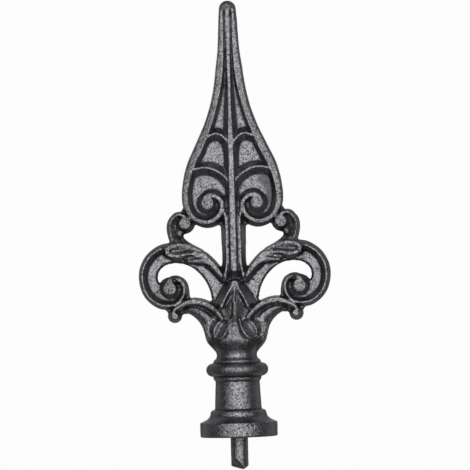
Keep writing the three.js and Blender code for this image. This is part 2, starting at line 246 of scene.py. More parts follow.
# The two folds inside the curled end.
sweep(
    [(33.2, 96.8), (31, 97.4), (28, 97.9), (24.5, 97.7), (21, 96.7), (18, 95.6)],
    [(1.6, 0.8, 1.6, 6.7), (2.4, 1.6, 2.4, 7), (2.4, 1.6, 2.4, 7), (1.6, 0.8, 1.6, 6.4)],
    lean=(0.32,),
)
sweep(
    [(19.5, 95), (23, 95.1), (26, 94.8), (29.5, 94.6), (32.4, 95.2)],
    [(1.2, 0.6, 1.6, 6.4), (1.6, 0.9, 2, 6.8), (1.4, 0.7, 1.6, 6.7)],
    lean=(0.35,),
)
# The two lobes under it.
sweep([(14, 91.2), (17.5, 92.4), (21.5, 93), (25.6, 92.8)], [
    (2, 1.2, 2.2, 5.9), (2, 1.2, 2.2, 5.7), (1.8, 0.7, 2, 5.5), (1.8, 0.5, 2, 4.6),
])
sweep([(13.5, 90), (17, 90.7), (20.5, 91), (23.8, 91)], [(1.6, 0.8, 1.8, 5.7), (1.2, 0.5, 1.4, 5.4)])
# The lip that runs round the curled end.
sweep(
    [
        (16.5, 95.8), (19.5, 97.4), (22, 98.6), (24.5, 99.4), (27, 99.8), (29.6, 99.6),
        (32.2, 98.9), (33.8, 97.8), (34.2, 96.3), (33.4, 95), (31.8, 94.3), (30, 93.9),
        (27.5, 93.8), (25.6, 94.3), (23.5, 94.7), (20.5, 94.9),
    ],
    [(1.3, 0.4, 2, 6.4), (1.5, 0.6, 2.2, 7.1), (1.9, 1, 2.6, 7.2), (3, 0.65, 2, 7), (1.6, 0.3, 1.6, 6.3)],
)
print("with leaf arm:", len(casting.faces), "faces")

# %% [markdown]
# ## Calyx leaves
# The foot of the ornament is a calyx: a rounded body with a drooping leaf on each side, a looped
# bract beside it, and a palmette in the middle. The lines on the body could be projected onto it
# with a Shrinkwrap modifier. Here the body is a known form, so a function gives the height of its
# face, and a band laid on it adds its own depth to that.

# %% Drooping leaf
LEAF_LINE = [
    (6.4, 60.5), (8, 63), (10, 65.3), (12.2, 67.2), (15, 68.7), (18, 69.8), (21.5, 70.3),
    (25, 69.7), (28.5, 68.1), (31, 66.5), (32, 64.8), (31.6, 63.4),
]
sweep(LEAF_LINE, [
    (1.6, 0.95, 3.4, 10.6), (1.9, 1.1, 3.9, 9.8), (2, 1.15, 4.4, 8.8), (2.1, 1.15, 4.9, 8),
    (2.2, 1.2, 5.3, 7.3), (2.2, 1.25, 5.3, 6.8), (2.1, 1.3, 5.3, 6.5), (2, 1.1, 4.8, 6.2),
    (1.8, 0.75, 3.5, 6), (1.6, 0.65, 2.4, 5.8), (1.6, 0.8, 1.8, 5.5), (1.6, 0.9, 1.6, 5.3),
])
# The shaded fold under the leaf.
sweep(
    [(12.4, 63.2), (15.5, 65.6), (19, 67.2), (23, 67.7), (27, 66.6)],
    [
        (1.8, 0.8, 1.8, 4.8), (1.8, 0.8, 1.8, 4), (1.8, 0.8, 1.8, 3.4),
        (1.6, 0.6, 1.6, 3), (1.4, 0.4, 1.4, 2.8),
    ],
    lean=(-0.7,),
)
# The leaf's lower side, which runs down into the calyx, and the fold along it.
sweep(
    [
        (10.5, 44.6), (13.7, 49.8), (14.6, 53.9), (15, 58), (14.9, 60.9),
        (16.6, 63.2), (18.9, 64.5), (21.05, 65.45), (23.9, 65.7), (26.4, 64.8),
    ],
    [
        (0.8, 0.2, 0.8, 4.8), (1.8, 1, 1.7, 7.4), (1.9, 1.1, 1.8, 8), (2.4, 1.6, 2.4, 7),
        (3.2, 2.35, 3.2, 6), (2.8, 2.05, 2.8, 5.2), (2.5, 1.8, 2.5, 4.8), (2.3, 1.55, 2.2, 4.5),
        (1.8, 1.1, 1.8, 4.2), (1.1, 0.5, 1.2, 3),
    ],
    lean=(-0.38,),
)
sweep(
    [
        (14.2, 57.6), (14.3, 59.4), (14.6, 61.3), (15.6, 62.6),
        (17.4, 63.8), (19.8, 65.2), (22.4, 66.1), (24.6, 66.3),
    ],
    [
        (0.6, 0.2, 0.8, 7.6), (1.2, 0.8, 1.8, 7.7), (1.7, 1.3, 2.4, 7.4), (1.7, 1.3, 2.4, 7),
        (1.5, 1.1, 2.1, 6.5), (1.3, 0.85, 1.8, 6), (1.1, 0.55, 1.4, 5.5), (0.7, 0.2, 0.8, 5),
    ],
    lean=(-0.35, -0.15, -0.15, -0.3),
)
print("with drooping leaf:", len(casting.faces), "faces")

# %% Bracts on the calyx
# Each row is (half width, half depth, height) of the calyx's body.
CALYX = np.array([
    (10.3, 10.3, 42.6), (11, 10.6, 44), (12.4, 11.8, 46), (14.7, 12.7, 49), (16, 12.6, 53),
    (17.2, 11.6, 57), (18.8, 9.8, 61), (19.4, 8, 64.5), (16, 6, 67.6), (8, 3.4, 69.4),
])


def calyx_face(x, z):
    """How far the calyx's face stands from the parting plane."""
    width = np.interp(z, CALYX[:, 2], CALYX[:, 0])
    depth = np.interp(z, CALYX[:, 2], CALYX[:, 1])
    return depth * math.sqrt(1 - (x / width) ** 2)


# The loop, and the fold inside it.
sweep(
    [(2.2, 61.5), (3, 57.5), (4.6, 54), (6.8, 51.5), (9.6, 50.2), (12, 51.3), (13, 54.3)],
    [(1.3, 0.5, 1.3, 1)],
    calyx_face,
)
sweep(
    [(6.6, 60.6), (8.6, 59.1), (10, 57.4), (11, 55), (11, 52.8)],
    [(0.9, 0.2, 0.9, 0.4), (1, 0.4, 1, 0.8)],
    calyx_face,
)
print("with bracts:", len(casting.faces), "faces")

# %% Palmette
# Its outer rim, its body, which slopes to the middle, and the vein between them.
sweep(
    [(0.6, 79.8), (2.2, 76.2), (3.8, 73.4), (5.4, 70.3), (6.8, 67.4), (8.4, 64.6)],
    [
        (4.2, 0.9, 1.2, 6.9), (5.4, 0.45, 1.1, 7.1), (5.4, 0.45, 1.1, 7.6), (5.4, 0.5, 1.2, 8.4),
        (5.4, 0.8, 1.5, 9.4), (5, 0.2, 1, 7.4),
    ],
)
sweep(
    [(0.7, 78.4), (1.4, 75.5), (2.2, 72), (2.9, 68.5), (3.2, 64.5), (3.2, 61)],
    [
        (1, 0.6, 0.8, 6.3), (1.8, 1.3, 1.5, 7.3), (2.6, 2.1, 2.3, 8.1),
        (3.3, 2.8, 3, 8.9), (3.6, 3.1, 3.3, 9.8), (3.6, 3.1, 3.3, 10.6),
    ],
    lean=(0.5,),
)
sweep([(1.7, 73), (2.5, 71.6), (3.5, 69.8), (4.6, 67.6)], [(1, 0.25, 1.1, 7.6), (1.2, 0.3, 1.4, 8.2)])
print("with palmette:", len(casting.faces), "faces")

# %% [markdown]
# ## Eyes and swellings
# Each scroll winds into a round eye, and the leaves end in rounded swellings. They could be spun
# from a profile, but a cone with a flat top on each face already makes an eye, and a stretched ball
# makes a swelling.

# %% Round forms
EYE_DEPTH = 5.2
ROUND_SIDES, BALL_RINGS = 32, 20


def eye(centre, crest, foot, depth=EYE_DEPTH):
    """A flat-topped cone on each face, from the radius of its crest and of its foot."""
    for face in (-1, 1):
        middle = Matrix.Translation((centre[0], face * depth / 2, centre[1]))
        bmesh.ops.create_cone(
            casting, cap_ends=True, segments=ROUND_SIDES, radius1=foot, radius2=crest, depth=depth,
            matrix=middle @ Matrix.Rotation(-face * math.pi / 2, 4, "X"),
        )


def swelling(centre, half_size):
    """A ball with a half size of its own along each axis."""
    place = Matrix.LocRotScale(Vector(centre), None, Vector(half_size))
    bmesh.ops.create_uvsphere(
        casting, u_segments=ROUND_SIDES, v_segments=BALL_RINGS, radius=1, matrix=place
    )


eye(BLADE_EYE, 3.1, 6.7)
eye(SMALL_EYE, 2.95, 5)
eye(LARGE_EYE, 3.2, 6.1)
# The lobe under the volute, the drooping leaf's bulb with its own eye, and the leaf arm's curled end.
swelling((12.4, 0, 110.3), (3.6, 2.2, 1.8))
swelling((31.4, 0, 63.1), (3.75, 4.6, 3.75))
eye((31.2, 63), 1.7, 3.2, 5.6)
swelling((29.4, 0, 98.4), (4.4, 6.1, 6.4))
print("with round forms:", len(casting.faces), "faces")

# %% [markdown]
# ## The web
# A thin web ties the bands together, with two windows on each side through which the sky shows. It
# could be a slab with holes cut by booleans. Here the outline and the windows are drawn as edges and
# filled with triangles, an inset gives the edge its slope down to the parting plane, and a mirror
# makes the back. The outline follows the middle of the outer bands, so their own feet make the edge
# that we see.

# %% Draw the windows
CURVE_POINTS = 12


def outline(start, *moves):
    """A drawn line: a move of one point is straight, of two a curve with one handle, of three with two."""
    drawn = [Vector(start)]
    for *handles, end in moves:
        here, end = drawn[-1], Vector(end)
        if not handles:
            drawn.append(end)
            continue
        near, far = Vector(handles[0]), Vector(handles[-1])
        if len(handles) == 1:
            near, far = here.lerp(near, 2 / 3), end.lerp(far, 2 / 3)
        drawn += geometry.interpolate_bezier(here, near, far, end, CURVE_POINTS)[1:]
    return [tuple(point) for point in drawn]


upper_window = outline(
    (6.2, 90), [(6.6, 108)], [(6.7, 109.2), (7.8, 109.2)], [(13.3, 108.2), (18.8, 109.9)], [(19.7, 109.4)],
    [(20.9, 105.6), (25, 105.1)], [(26, 104.6), (25.4, 103.2)], [(22.5, 99.8), (15.6, 97.8), (8.8, 89.2)],
    [(6.4, 86.7), (6.2, 90)],
)
lower_window = outline(
    (12.4, 72), [(13.2, 79.3), (18.3, 87.2), (26, 89.5)], [(32, 91.1), (38.8, 89.6), (39.6, 83.6)],
    [(39.7, 80.2), (38.1, 80.2)], [(34.8, 83.4), (31.2, 83.6)], [(26.2, 83.6), (23, 79), (23.3, 72.4)],
    [(17.4, 72.2), (14, 70.6)], [(12, 69.8), (12.2, 72)],
)
print("windows:", len(upper_window), "and", len(lower_window), "points")

# %% Fill the web, slope its edge and mirror it to the back
WEB_DEPTH = 1.5
EDGE_SLOPE = 1.2


def part_of(line, first, last):
    """Places along a smooth line from one of its points to another, by their numbers."""
    path = smooth_line(line)[min(first, last) * SPAN_STEPS:max(first, last) * SPAN_STEPS + 1]
    return [tuple(place) for place in path][:: 1 if first < last else -1]


underside = [
    (9, 45.5), (13.2, 47.2), (15.8, 51), (17.2, 56), (19.4, 60), (22.4, 62.8), (25.4, 64.1), (28, 63),
]
# The edge runs out under the leaf, up along the bands to the tip, and closes just past the middle.
edge = [
    (-0.5, 45.5), *part_of(underside, 0, 7), (31.8, 61), (35, 64.5), *part_of(LARGE_LINE, 6, 0),
    *part_of(SMALL_LINE, 0, 7), (26.5, 117.9), *part_of(BLADE_LINE, 12, 0), (-0.5, 220.6),
]
loops = []
for loop in (edge, upper_window[:-1], lower_window[:-1]):
    corners = [casting.verts.new((x, -WEB_DEPTH, z)) for x, z in loop]
    loops += [casting.edges.new((a, b)) for a, b in zip(corners, corners[1:] + corners[:1])]
rim_verts = list({v for e in loops for v in e.verts})
filled = bmesh.ops.triangle_fill(casting, use_beauty=True, edges=loops)["geom"]
web_faces = [part for part in filled if isinstance(part, bmesh.types.BMFace)]
slope = bmesh.ops.inset_region(casting, faces=web_faces, thickness=EDGE_SLOPE, use_boundary=True)["faces"]
for v in rim_verts:
    v.co.y = 0
front = web_faces + slope
front += list({e for f in front for e in f.edges}) + list({v for f in front for v in f.verts})
bmesh.ops.mirror(casting, geom=front, axis="Y", merge_dist=1e-4)
print("web:", len(web_faces) + len(slope), "faces a side")

# %% [markdown]
# ## The other half
# The ornament is the same on the left, so everything made so far is mirrored in the middle plane.
# A Mirror modifier could do it, but the forms still have to be fused with what stands on the middle,
# which comes afterwards: the centre rib, the palmette's keel and the tip.

# %% Mirror, then add what stands on the middle
half = list(casting.verts) + list(casting.edges) + list(casting.faces)
bmesh.ops.mirror(casting, geom=half, axis="X", merge_dist=-1)
RIB_HEIGHTS = (81.8, 85.6, 100, 118, 132, 150, 162, 170, 180, 190, 200, 208, 216, 220.5, 223.4)
sweep([(0, z) for z in RIB_HEIGHTS], [
    (4.2, 1.2, 4.2, 2.4), (4.1, 1.5, 4.1, 6.4), (4, 1.55, 4, 6.4), (4, 1.5, 4, 6.2), (4.3, 1.35, 4.3, 5.7),
    (5, 1.25, 5, 5.3), (4.5, 1, 4.5, 5.2), (3.95, 0.78, 3.95, 5.1), (2.6, 0.75, 2.6, 5),
    (1.95, 0.95, 1.95, 4.9), (2, 1.1, 2, 4.8), (2, 1.2, 2, 4.7), (1.9, 1.2, 1.9, 4.5),
    (1.7, 1.1, 1.7, 4.1), (1.1, 0.5, 1.1, 2.4),
])
KEEL_HEIGHTS = (80.6, 78.8, 76, 72)
sweep([(0, z) for z in KEEL_HEIGHTS], [
    (1.5, 0.9, 1.5, 5.6), (2.2, 0.9, 2.2, 6.8), (2.4, 0.3, 2.4, 7.2), (2.4, 0.2, 2.4, 8),
])
swelling((0, 0, 220.6), (4.4, 3.5, 4.4))
eye((0, 79.5), 1.4, 2.6, 7.1)
print("both halves:", len(casting.faces), "faces")

# %% [markdown]
# ## The turned foot
# The foot was turned on a lathe for the pattern, so it is spun from its profile: a flange that sits
# on the post, a hollow and a quarter round, a tapering shaft, a bead between two fillets, and a neck.
# The calyx is spun with it and then pressed flatter from front to back.

# %% Spin the foot and the calyx
BEAD_CENTRE, BEAD_RADIUS, BEAD_POINTS = (12.6, 34.6), 3.45, 17
FOOT_SIDES = 96
bead = [
    (BEAD_CENTRE[0] + BEAD_RADIUS * math.cos(a), BEAD_CENTRE[1] + BEAD_RADIUS * math.sin(a))
    for a in np.linspace(-math.pi / 2, math.pi / 2, BEAD_POINTS)
]
profile = outline(
    (0, 0), [(19.3, 0)], [(20, 0), (20, 0.7)], [(20, 7)], [(20, 7.7), (19.3, 7.7)],
    [(16, 8.9), (14.6, 11)], [(14.6, 14), (12.7, 14)], [(12.1, 14.3)], [(11.35, 28.9)],
    [(12.35, 29.5)], [(12.35, 31.15)],
) + bead + outline((12.3, 38.3), [(12.1, 39.5)], [(11.1, 40.2)], [(10.5, 41)], [(10.35, 42.4)])
profile += [tuple(point) for point in smooth_line(CALYX[:, [0, 2]])] + [(0, CALYX[-1, 2])]
chain = [casting.verts.new((r, 0, z)) for r, z in profile]
chain_edges = [casting.edges.new(pair) for pair in zip(chain, chain[1:])]
bmesh.ops.spin(
    casting, geom=chain + chain_edges, axis=(0, 0, 1), cent=(0, 0, 0), angle=2 * math.pi,
    steps=FOOT_SIDES, use_merge=True,
)
print("profile of the foot:", len(profile), "points")

# %% Press the calyx flatter
# All that hangs together with the profile is the foot.
foot = {v for f in {f for v in chain for f in v.link_faces} for v in f.verts}
while True:
    wider = {w for v in foot for e in v.link_edges for w in e.verts}
    if len(wider) == len(foot):
        break
    foot = wider
for v in foot:
    if v.co.z > CALYX[0, 2]:
        width = np.interp(v.co.z, CALYX[:, 2], CALYX[:, 0])
        v.co.y *= np.interp(v.co.z, CALYX[:, 2], CALYX[:, 1]) / width
print("foot and calyx:", len(foot), "vertices")

# %% [markdown]
# ## The spigot
# The spigot goes into a hole in the post. It is a plain round bar, and its end was left rough and
# slanting. A boolean could cut it, but flat cuts are simpler as planes: the bar is cut by three, and
# each cut is closed.

# %% Cut the spigot's end
spigot = bmesh.new()
SPIGOT_RADIUS, SPIGOT_LENGTH, SPIGOT_SIDES = 4.5, 16.8, 48
BURIED = 2
# Each cut faces a way and crosses the axis at a height.
CUTS = (((-0.48, -0.7, -0.53), -18.8), ((-0.26, 0, -0.97), -16.4), ((0.53, 0.1, -0.85), -17.8))
bmesh.ops.create_cone(
    spigot, cap_ends=True, segments=SPIGOT_SIDES, radius1=SPIGOT_RADIUS, radius2=SPIGOT_RADIUS,
    depth=SPIGOT_LENGTH + BURIED, matrix=Matrix.Translation((0, 0, (BURIED - SPIGOT_LENGTH) / 2)),
)
for facing, height in CUTS:
    everything = list(spigot.verts) + list(spigot.edges) + list(spigot.faces)
    cut = bmesh.ops.bisect_plane(
        spigot, geom=everything, plane_co=(0, 0, height), plane_no=facing, clear_outer=True
    )
    rim = [part for part in cut["geom_cut"] if isinstance(part, bmesh.types.BMEdge)]
    bmesh.ops.holes_fill(spigot, edges=rim)
spigot_mesh = bpy.data.meshes.new("spigot")
spigot.to_mesh(spigot_mesh)
casting.from_mesh(spigot_mesh)
print("spigot:", len(spigot_mesh.polygons), "faces")
bpy.data.meshes.remove(spigot_mesh)

# %% [markdown]
# ## Fusing it into one casting
# All these closed forms overlap, as clay pieces would on a pattern. A boolean of so many shapes is
# fragile, so a voxel remesh wraps them in one skin, and a little smoothing gives the small fillets
# and soft edges that sand casting leaves.

# %% Wrap the forms in one skin
VOXEL = 0.4
bmesh.ops.remove_doubles(casting, verts=casting.verts, dist=1e-5)
bmesh.ops.recalc_face_normals(casting, faces=casting.faces)
bmesh.ops.scale(casting, vec=(MM, MM, MM), verts=casting.verts)
form = bpy.data.meshes.new("forms")
casting.to_mesh(form)
finial = bpy.data.objects.new("finial_casting", form)
bpy.context.scene.collection.objects.link(finial)


def apply_modifiers():
    """Makes what the modifiers show the piece's own mesh."""
    shown = finial.evaluated_get(bpy.context.evaluated_depsgraph_get())
    made = bpy.data.meshes.new_from_object(shown)
    finial.modifiers.clear()
    finial.data = made


skin = finial.modifiers.new("skin", "REMESH")
skin.mode = "VOXEL"
skin.voxel_size = VOXEL * MM
soften = finial.modifiers.new("soften", "SMOOTH")
soften.factor = 0.5
soften.iterations = 2
apply_modifiers()
print("skin:", len(finial.data.polygons), "faces")

# %% [markdown]
# ## Chisel work
# The leaves carry creases, veins and hollows that are finer than the bands, and the casting has a few
# pits. In Sculpt Mode these would be strokes of the Crease and Clay brushes. Here a stroke is a line
# with a width, and the skin near it is raised or sunk, most in the middle and fading to the sides.
# It works on both faces, and on the left as on the right, unless it is told not to.

# %% A chisel that follows a line
# A stroke takes hold in full this far from the parting plane.
FULL_HOLD = 2
skin_points = np.empty(len(finial.data.vertices) * 3)
finial.data.vertices.foreach_get("co", skin_points)
skin_points = skin_points.reshape(-1, 3) / MM
hold = np.clip(np.abs(skin_points[:, 1]) / FULL_HOLD, 0, 1) * np.sign(skin_points[:, 1])
untouched = skin_points[:, 1].copy()


def stroke(line, width, lifts=(1,), paired=True, front_only=False):
    """Which points lie near a line, and how much it lifts them.
    A paired stroke is made on the left as well."""
    path = smooth_line(line)
    place = skin_points[:, [0, 2]].copy()
    if paired:
        place[:, 0] = np.abs(place[:, 0])
    near = np.all((place > path.min(axis=0) - width) & (place < path.max(axis=0) + width), axis=1)
    if front_only:
        near &= skin_points[:, 1] < 0
    spot = place[near]
    least, lift = np.full(len(spot), np.inf), np.zeros(len(spot))
    for i, (start, end) in enumerate(zip(path, path[1:])):
        run = end - start
        share = np.clip((spot - start) @ run / (run @ run), 0, 1)
        away = np.linalg.norm(spot - start - share[:, None] * run, axis=1)
        closer = away < least
        least[closer] = away[closer]
        along = (i + share[closer]) / (len(path) - 1)
        lift[closer] = np.interp(along, np.linspace(0, 1, len(lifts)), lifts)
    fall = np.clip(1 - 2 * least / width, 0, 1)
    return near, lift * fall**2 * (3 - 2 * fall)


def chisel(line, width, *lifts, **limits):
    """Raises the skin along a line, or sinks it where the lift is below zero."""
    near, lift = stroke(line, width, lifts, **limits)
    skin_points[near, 1] += hold[near] * lift


def worked():
    """How many points of the skin the chisel has moved so far."""
    return int(np.sum(skin_points[:, 1] != untouched))


# %% Creases of the leaf arm
# The slit and the vein inside the curled end, and the fullness of its tip.
chisel([(20.8, 96), (23, 95.9), (25.5, 95.8), (28, 95.5), (30.8, 95.4)], 1.6, -0.4, -0.8, -0.8, -0.3)
chisel([(28, 97.2), (30, 97.1), (32, 97)], 1.3, 0, -0.4, 0)
chisel([(35.6, 98.2), (36, 96.4), (35, 94.2)], 3, 0.8)
# The lip is notched all round, as a leaf's edge is, by nicks of three depths.
NICKS = [
    (21.2, 98.2), (23.4, 99), (25.4, 99.7), (27.3, 99.7), (29.6, 99.7), (30.9, 99.3), (32.9, 98.6),
    (34.2, 96.9), (33.4, 95), (31.8, 94.2), (29.2, 93.9), (27.8, 93.8), (25.2, 94.4), (23, 94.8),
]
NICK_WIDTH, NICK_DEPTH, NICK_STEP = 1.3, 0.3, 0.1
for i, (x, z) in enumerate(NICKS):
    chisel([(x - 0.3, z - 0.2), (x + 0.3, z + 0.3)], NICK_WIDTH, -NICK_DEPTH - NICK_STEP * (i % 3))
# The creases between the lobes, and the one that parts the arm from its field.
chisel([(16.3, 92.2), (19, 92.3), (21.5, 91.9), (23.2, 91.2)], 1.3, -0.3, -0.7, -0.7, -0.3)
chisel([(21.8, 93.6), (24, 93), (25.4, 92)], 1.5, -0.2, -0.3, -0.2)
chisel([(21, 92.5), (23, 91.8), (24.2, 91)], 1.1, 0.4)
chisel([(12.6, 88.2), (16, 88.9), (20, 89), (24.3, 89.9)], 1.8, -0.6)
# The foot of the stem.
chisel([(0, 83.2), (0, 82.2)], 4.2, -0.8)
print("leaf arm:", worked(), "points worked, with", len(NICKS), "nicks in the lip")

# %% Lines wound about the eyes
BLADE_WIND = [(-45, 6.5), (-70, 6.6), (-100, 6.4), (-130, 5.9), (-160, 5.2), (-195, 4.4)]
LARGE_WIND = [(-34, 6), (-60, 5.9), (-90, 5.8), (-130, 5.7), (-165, 5.2), (-190, 4.9)]
chisel(scroll(BLADE_EYE, BLADE_WIND), 1.2, 0, 0.3, 0.3, 0)
chisel(scroll(LARGE_EYE, LARGE_WIND), 1.2, 0.5, 0.4, 0.3, 0)
# Where the large scroll closes on its eye, the groove between them is filled.
chisel([(31, 81.2), (29.8, 80.4), (28.9, 79.2)], 2.8, 1.6, 1.6, 0.4)
# The line down the small scroll's back.
chisel([(28.3, 105.6), (29.3, 107.6), (29.6, 110), (29.2, 112.2), (28, 113.9)], 1.2, 0, 0.3, 0.3, 0)
print("eyes:", worked(), "points worked so far")

# %% Creases of the calyx
# The creases beside the palmette's tongue were cut by hand, and the left one starts higher.
RIGHT_CREASE = [(1.4, 60.5), (1.8, 58.5), (2.4, 56.2), (3, 54), (4, 51.9), (5.4, 50)]
LEFT_CREASE = [(-1.4, 68.7), (-1.9, 63.7), (-2.8, 58.8), (-3.8, 54), (-5.4, 50.5)]
chisel(RIGHT_CREASE, 1.6, -0.5, -0.9, -0.4, paired=False)
chisel(LEFT_CREASE, 1.6, -0.5, -0.9, -0.3, paired=False)
chisel([(0.5, 72.6), (0.45, 70.3)], 1, -0.9, paired=False)
chisel([(2.6, 73), (3.8, 71.2), (5.4, 68.4)], 1.1, -0.4)
# The hollows of the bract, and the creases under the drooping leaf.
chisel([(5.6, 59), (7.4, 56.4), (9, 53)], 5, -1.5)
chisel([(9.3, 61.3), (11.6, 58.6), (12.3, 55.5), (12.2, 52.6)], 2.4, -0.9)
chisel([(8.4, 60.8), (10.6, 62.5), (13, 64.2), (16, 65.9)], 3.6, -0.7, -0.9, -0.4)
chisel([(9.5, 62.5), (12.5, 65.2), (16, 67), (20, 67.8), (24, 67.6), (28, 66.3)], 2.6, -0.5)
print("calyx:", worked(), "points worked so far")

# %% Pits of the casting
# Each pit is (x, z, width, lift), on the front alone.
PITS = (
    (9.7, 80.9, 1.6, -0.6), (22.1, 69.2, 1.3, -0.5), (-5.1, 3, 1.2, -0.4),
    (1.3, 4.8, 1.3, -0.4), (5.9, 6, 1.1, -0.4), (8.4, 5.8, 1.2, -0.4),
)
HALF_PIT = 0.15
for x, z, width, lift in PITS:
    chisel([(x - HALF_PIT, z), (x + HALF_PIT, z)], width, lift, paired=False, front_only=True)
print("pits:", len(PITS), "and", worked(), "of", len(skin_points), "points worked in all")

# %% [markdown]
# ## Sand and shrinkage
# A sand mould is never quite true, so the faces of a casting wander a little and its edges waver. A
# Displace modifier with a clouds texture could do it. Two layers of noise, one a few millimetres long
# and one finer, do the same here and push the skin along its normals. The skin is then held inside
# the size of the solid.

# %% Let the skin wander
# Each layer is (length, height), in millimetres.
WANDER = ((4.5, 0.06), (1.7, 0.03))
MARGIN = 0.02
facing = np.empty(len(skin_points) * 3)
finial.data.vertex_normals.foreach_get("vector", facing)
facing = facing.reshape(-1, 3)
for length, height in WANDER:
    waver = np.array([noise.noise(Vector(point / length)) for point in skin_points])
    skin_points += facing * (height * waver)[:, None]
    print("a wander of", length, "mm moves the skin up to", round(height * np.abs(waver).max(), 3), "mm")
skin_points = np.clip(skin_points, np.array(cad_box[0]) / MM + MARGIN, np.array(cad_box[1]) / MM - MARGIN)
finial.data.vertices.foreach_set("co", (skin_points * MM).ravel())
finial.data.update()

# %% [markdown]
# ## Crests and hollows
# Handling and brushing smooth the crests of ironwork. Its hollows are darkened with painted shade,
# standing in for the shade that falls in them, with some foundry black. The Bevel and Ambient Occlusion
# nodes could find them at render time, but they don't export, so we measure it here: the skin is
# relaxed, and a point that moves out lay in a hollow. The result is kept as a number from 0, a crest,
# to 1, a hollow.

# %% Measure crests and hollows
RELAX_ROUNDS, FULL_HOLLOW, LEVEL = 14, 0.4, 0.5
pairs = np.empty(len(finial.data.edges) * 2, int)
finial.data.edges.foreach_get("vertices", pairs)
one, other = pairs.reshape(-1, 2).T
how_many = np.bincount(pairs, minlength=len(skin_points))[:, None]
relaxed = skin_points.copy()
for _ in range(RELAX_ROUNDS):
    around = np.stack([
        np.bincount(one, relaxed[other, axis], len(relaxed))
        + np.bincount(other, relaxed[one, axis], len(relaxed))
        for axis in range(3)
    ], axis=1)
    relaxed = (relaxed + around / how_many) / 2
finial.data.vertex_normals.foreach_get("vector", facing.reshape(-1))
moved_out = np.sum((relaxed - skin_points) * facing, axis=1)
# Painted shade, with some foundry black: the further a point lies in a hollow, the darker its colour is
# made.
shade_and_black = np.clip(LEVEL + moved_out / (2 * FULL_HOLLOW), 0, 1)
print("hollows:", [round(float(v), 2) for v in np.percentile(moved_out, [1, 10, 50, 90, 99])], "mm")

# %% [markdown]
# ## Painted shade in rings and sheltered places
# The rings about the eyes, the places between the lines of the palmette and under the calyx get
# painted shade, even where the form isn't a sharp hollow, and with it some of the foundry's black.
# Texture painting would do it with an image. Here the chisel's stroke is used as a brush on the
# measured darkness. One kind of stroke sets the least darkness, and the other adds to it, so that
# the lines inside it still show.

# %% Paint shade into rings and sheltered places
STEEP = 0.25
WALL_SHADE, TOP_SHADE = 0.19, 0.1
FULL_TURN = range(0, 361, 30)
turned_away = 1 - np.abs(facing[:, 1])


def wash(line, width, **limits):
    """Which points a brush stroke reaches, and how fully: it covers its middle and fades at its sides."""
    near, strength = stroke(line, width, **limits)
    return near, np.clip(2 * strength, 0, 1)


def paint_shade_and_black(line, width, amount, walls_only=True):
    """Paints shade along a stroke, at least so dark, on its steep walls alone or all over."""
    near, cover = wash(line, width)
    steep = np.clip(turned_away[near] / STEEP, 0, 1) if walls_only else 1
    shade_and_black[near] = np.maximum(shade_and_black[near], LEVEL + amount * cover * steep)


def share_shaded():
    """How much of the skin is clearly blacker than the level, in per cent."""
    return round(100 * float(np.mean(shade_and_black > LEVEL + TOP_SHADE)))


# Painted shade on the walls of the rings about the eyes, and a little over each whole scroll.
for (x, z), ring, width in ((BLADE_EYE, 6, 9), (LARGE_EYE, 5.8, 8), (SMALL_EYE, 4.3, 4)):
    paint_shade_and_black(scroll((x, z), [(a, ring) for a in FULL_TURN]), width, WALL_SHADE)
    paint_shade_and_black([(x - 0.5, z), (x + 0.5, z)], 10, TOP_SHADE, walls_only=False)
# Painted shade on the volute's outer wall, the small scroll's back and root, and beside the palmette.
paint_shade_and_black(scroll(BLADE_EYE, [(-20, 12.8), (-45, 12.5), (-90, 11.6), (-135, 10.4)]), 4, WALL_SHADE)
paint_shade_and_black([(27.4, 113.6), (29.2, 112), (29.8, 109.2), (29.2, 106.4), (28, 103.6)], 4, 0.15, walls_only=False)
paint_shade_and_black([(25.2, 105.8), (26.6, 104.6)], 4, 0.3, walls_only=False)
paint_shade_and_black([(8.6, 67.6), (9.6, 65.8)], 4, 0.2, walls_only=False)
# Painted shade on the calyx above its neck, and on the bead.
paint_shade_and_black([(-12, 50), (-8, 47.8), (0, 47.4), (8, 47.8), (12, 50)], 7, 0.2, walls_only=False)
paint_shade_and_black([(-14, 34.6), (0, 34.6), (14, 34.6)], 7, 0.1, walls_only=False)
print("black on", share_shaded(), "% of the points")

# %% Paint shade on the palmette, its tongue and the curled leaf end
for line, width, amount in (
    ([(0, 64), (0, 68), (0, 71.5)], 13, 0.32),
    ([(0, 51), (0, 58)], 10, 0.1),
    ([(22.5, 96.6), (26, 96.6), (30, 96.4), (32.6, 96.6)], 3.6, 0.08),
):
    near, cover = wash(line, width)
    shade_and_black[near] += amount * cover
print("black on", share_shaded(), "% of the points")

# %% [markdown]
# ## Slick walls and a dull patch
# The pattern slides along the sloped walls as it is drawn from the sand and slicks them, so they show
# less grain than the faces. How far a point is turned away from the face tells the walls. The right
# lower panel also has a dull patch, darker and with less grain. The material could look for the walls
# by their normals, but bump disturbs those, so all three measures are kept on the mesh as attributes.

# %% Keep painted shade, draft and the dull patch on the mesh
# A darker, duller patch on the flat floor of the right lower panel.
DULL_PATCH_LINE = [(15.6, 132.8), (17.7, 131), (19.1, 128), (19.8, 124), (20.3, 121.8)]
DULL_PATCH_WIDTH, DULL_PATCH_AMOUNT, DULL_PATCH_STEEP = 7, 0.75, 0.1
near, cover = wash(DULL_PATCH_LINE, DULL_PATCH_WIDTH, paired=False, front_only=True)
flat = np.clip(1.5 - turned_away[near] / DULL_PATCH_STEEP, 0, 1)
dulled = np.zeros(len(skin_points))
dulled[near] = DULL_PATCH_AMOUNT * cover * flat
for name, values in (("hollow", shade_and_black), ("draft", turned_away), ("dull_patch", dulled)):
    finial.data.attributes.new(name, "FLOAT", "POINT").data.foreach_set("value", values)
    print(name, "has a mean of", round(float(np.mean(values)), 3))

